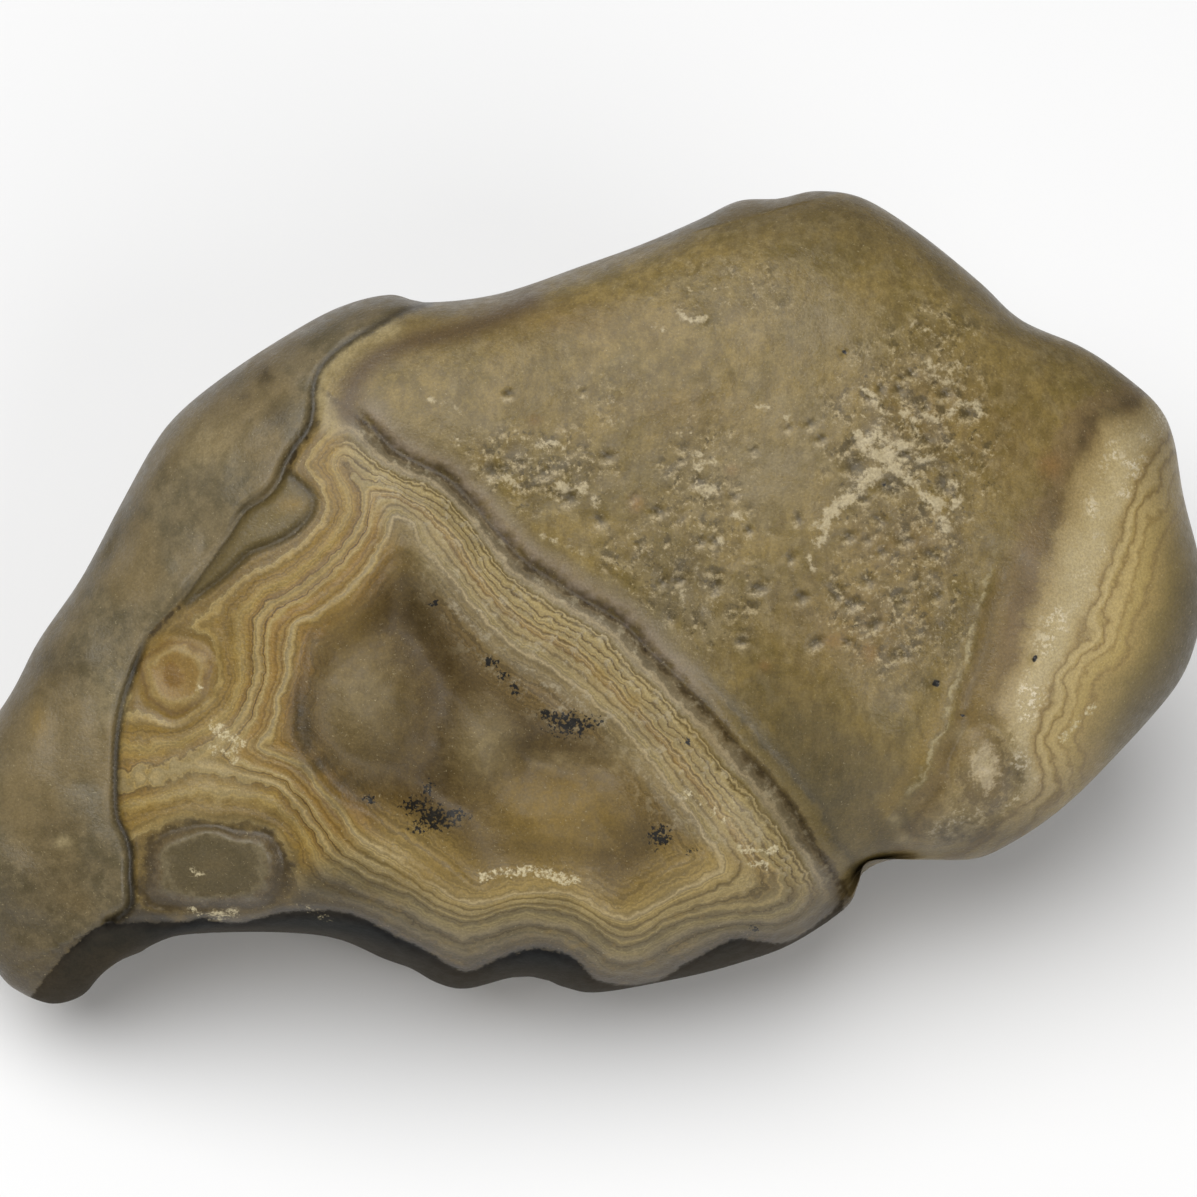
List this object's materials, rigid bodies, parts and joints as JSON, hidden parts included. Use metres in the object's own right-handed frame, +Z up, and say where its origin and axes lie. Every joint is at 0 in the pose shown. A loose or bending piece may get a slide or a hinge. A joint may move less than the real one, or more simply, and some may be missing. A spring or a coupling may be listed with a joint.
{
  "type": "rough agate",
  "caption": "Natural rough agate nodule with a pitted skin lobe, a banded face with a lumpy hollow, and a rind; a display stone that rests on a small flat spot.",
  "frame": {"origin": "centre of the box's base, at the height of the flat spot the stone rests on", "axes": "+X along the stone from its blunt tail to its banded shoulder, +Y from the foot of the show face to the back, +Z up"},
  "size_m": [0.102, 0.058, 0.0472],
  "materials": {
    "agate_stone": "waxy natural chalcedony, olive grey to amber, with cream bands"
  },
  "bodies": {
    "root": {"agate": "agate_stone"}
  },
  "joints": []
}
